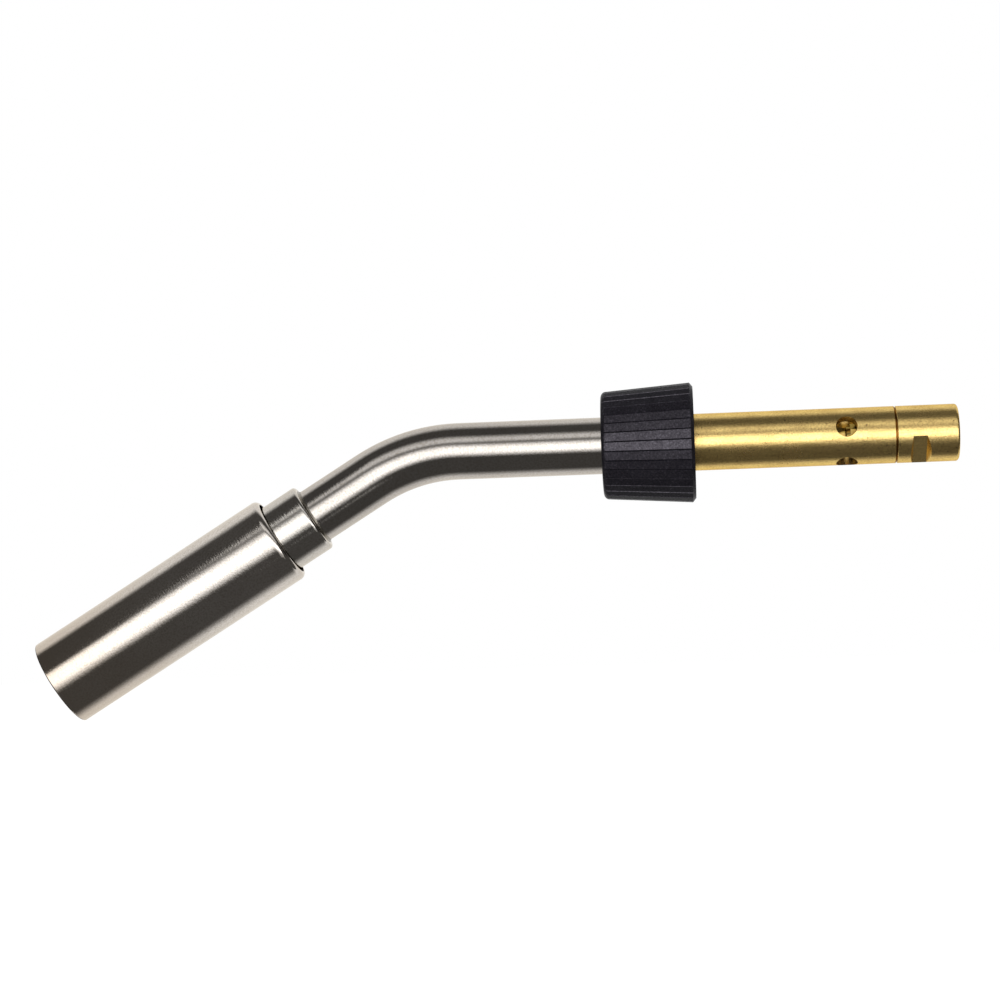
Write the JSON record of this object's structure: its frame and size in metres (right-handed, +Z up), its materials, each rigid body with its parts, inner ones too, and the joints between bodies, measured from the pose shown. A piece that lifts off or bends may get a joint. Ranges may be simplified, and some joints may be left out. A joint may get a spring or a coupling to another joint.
{
  "type": "gas torch burner head",
  "caption": "Plug-in swirl-flame burner head for a gas hand torch: steel flame barrel on a bent neck, black hand nut and brass gas stem with air holes.",
  "frame": {"origin": "centre of the stem flange's clamping face, on the stem's axis, where the burner seats in a torch handle", "axes": "+X along the brass stem to its gas inlet, +Z up, the neck bending down towards -X and -Z, +Y completing a right-handed frame"},
  "size_m": [0.262, 0.0338, 0.0895],
  "materials": {
    "stainless": "fine lengthwise brushing, bright",
    "spring_steel": "plain, slightly dull",
    "brass": "turned and lightly aged, satin",
    "braze": "silver braze bead",
    "copper": "soft copper",
    "sintered_bronze": "granular sintered bronze",
    "seal_rubber": "plain nitrile",
    "black_nylon": "matt moulded nylon"
  },
  "bodies": {
    "root": {"burner_barrel": "stainless", "step_collar": "stainless", "neck_tube": "stainless", "centring_ring": "stainless", "burner_cup": "brass", "gauze_disc": "stainless", "gauze_ring": "stainless", "swirler": "brass", "swirler_clip": "spring_steel", "collar_braze": "braze", "stem_braze": "braze", "mixing_tube": "brass", "inlet_body": "brass", "gas_jet": "brass", "jet_washer": "copper", "inlet_filter": "sintered_bronze", "filter_clip": "spring_steel", "inlet_seal": "seal_rubber"},
    "slip_ring": {"slip_ring": "spring_steel"},
    "hand_nut": {"coupling_nut": "black_nylon", "thread_insert": "brass"}
  },
  "joints": [
    {"name": "nut_slide", "type": "slide", "parent": "root", "child": "slip_ring", "axis": [1, 0, 0], "range_m": [-0.038, 0]},
    {"name": "nut_spin", "type": "hinge", "parent": "slip_ring", "child": "hand_nut", "pos_m": [0, 0, 0], "axis": [1, 0, 0], "continuous": true}
  ]
}
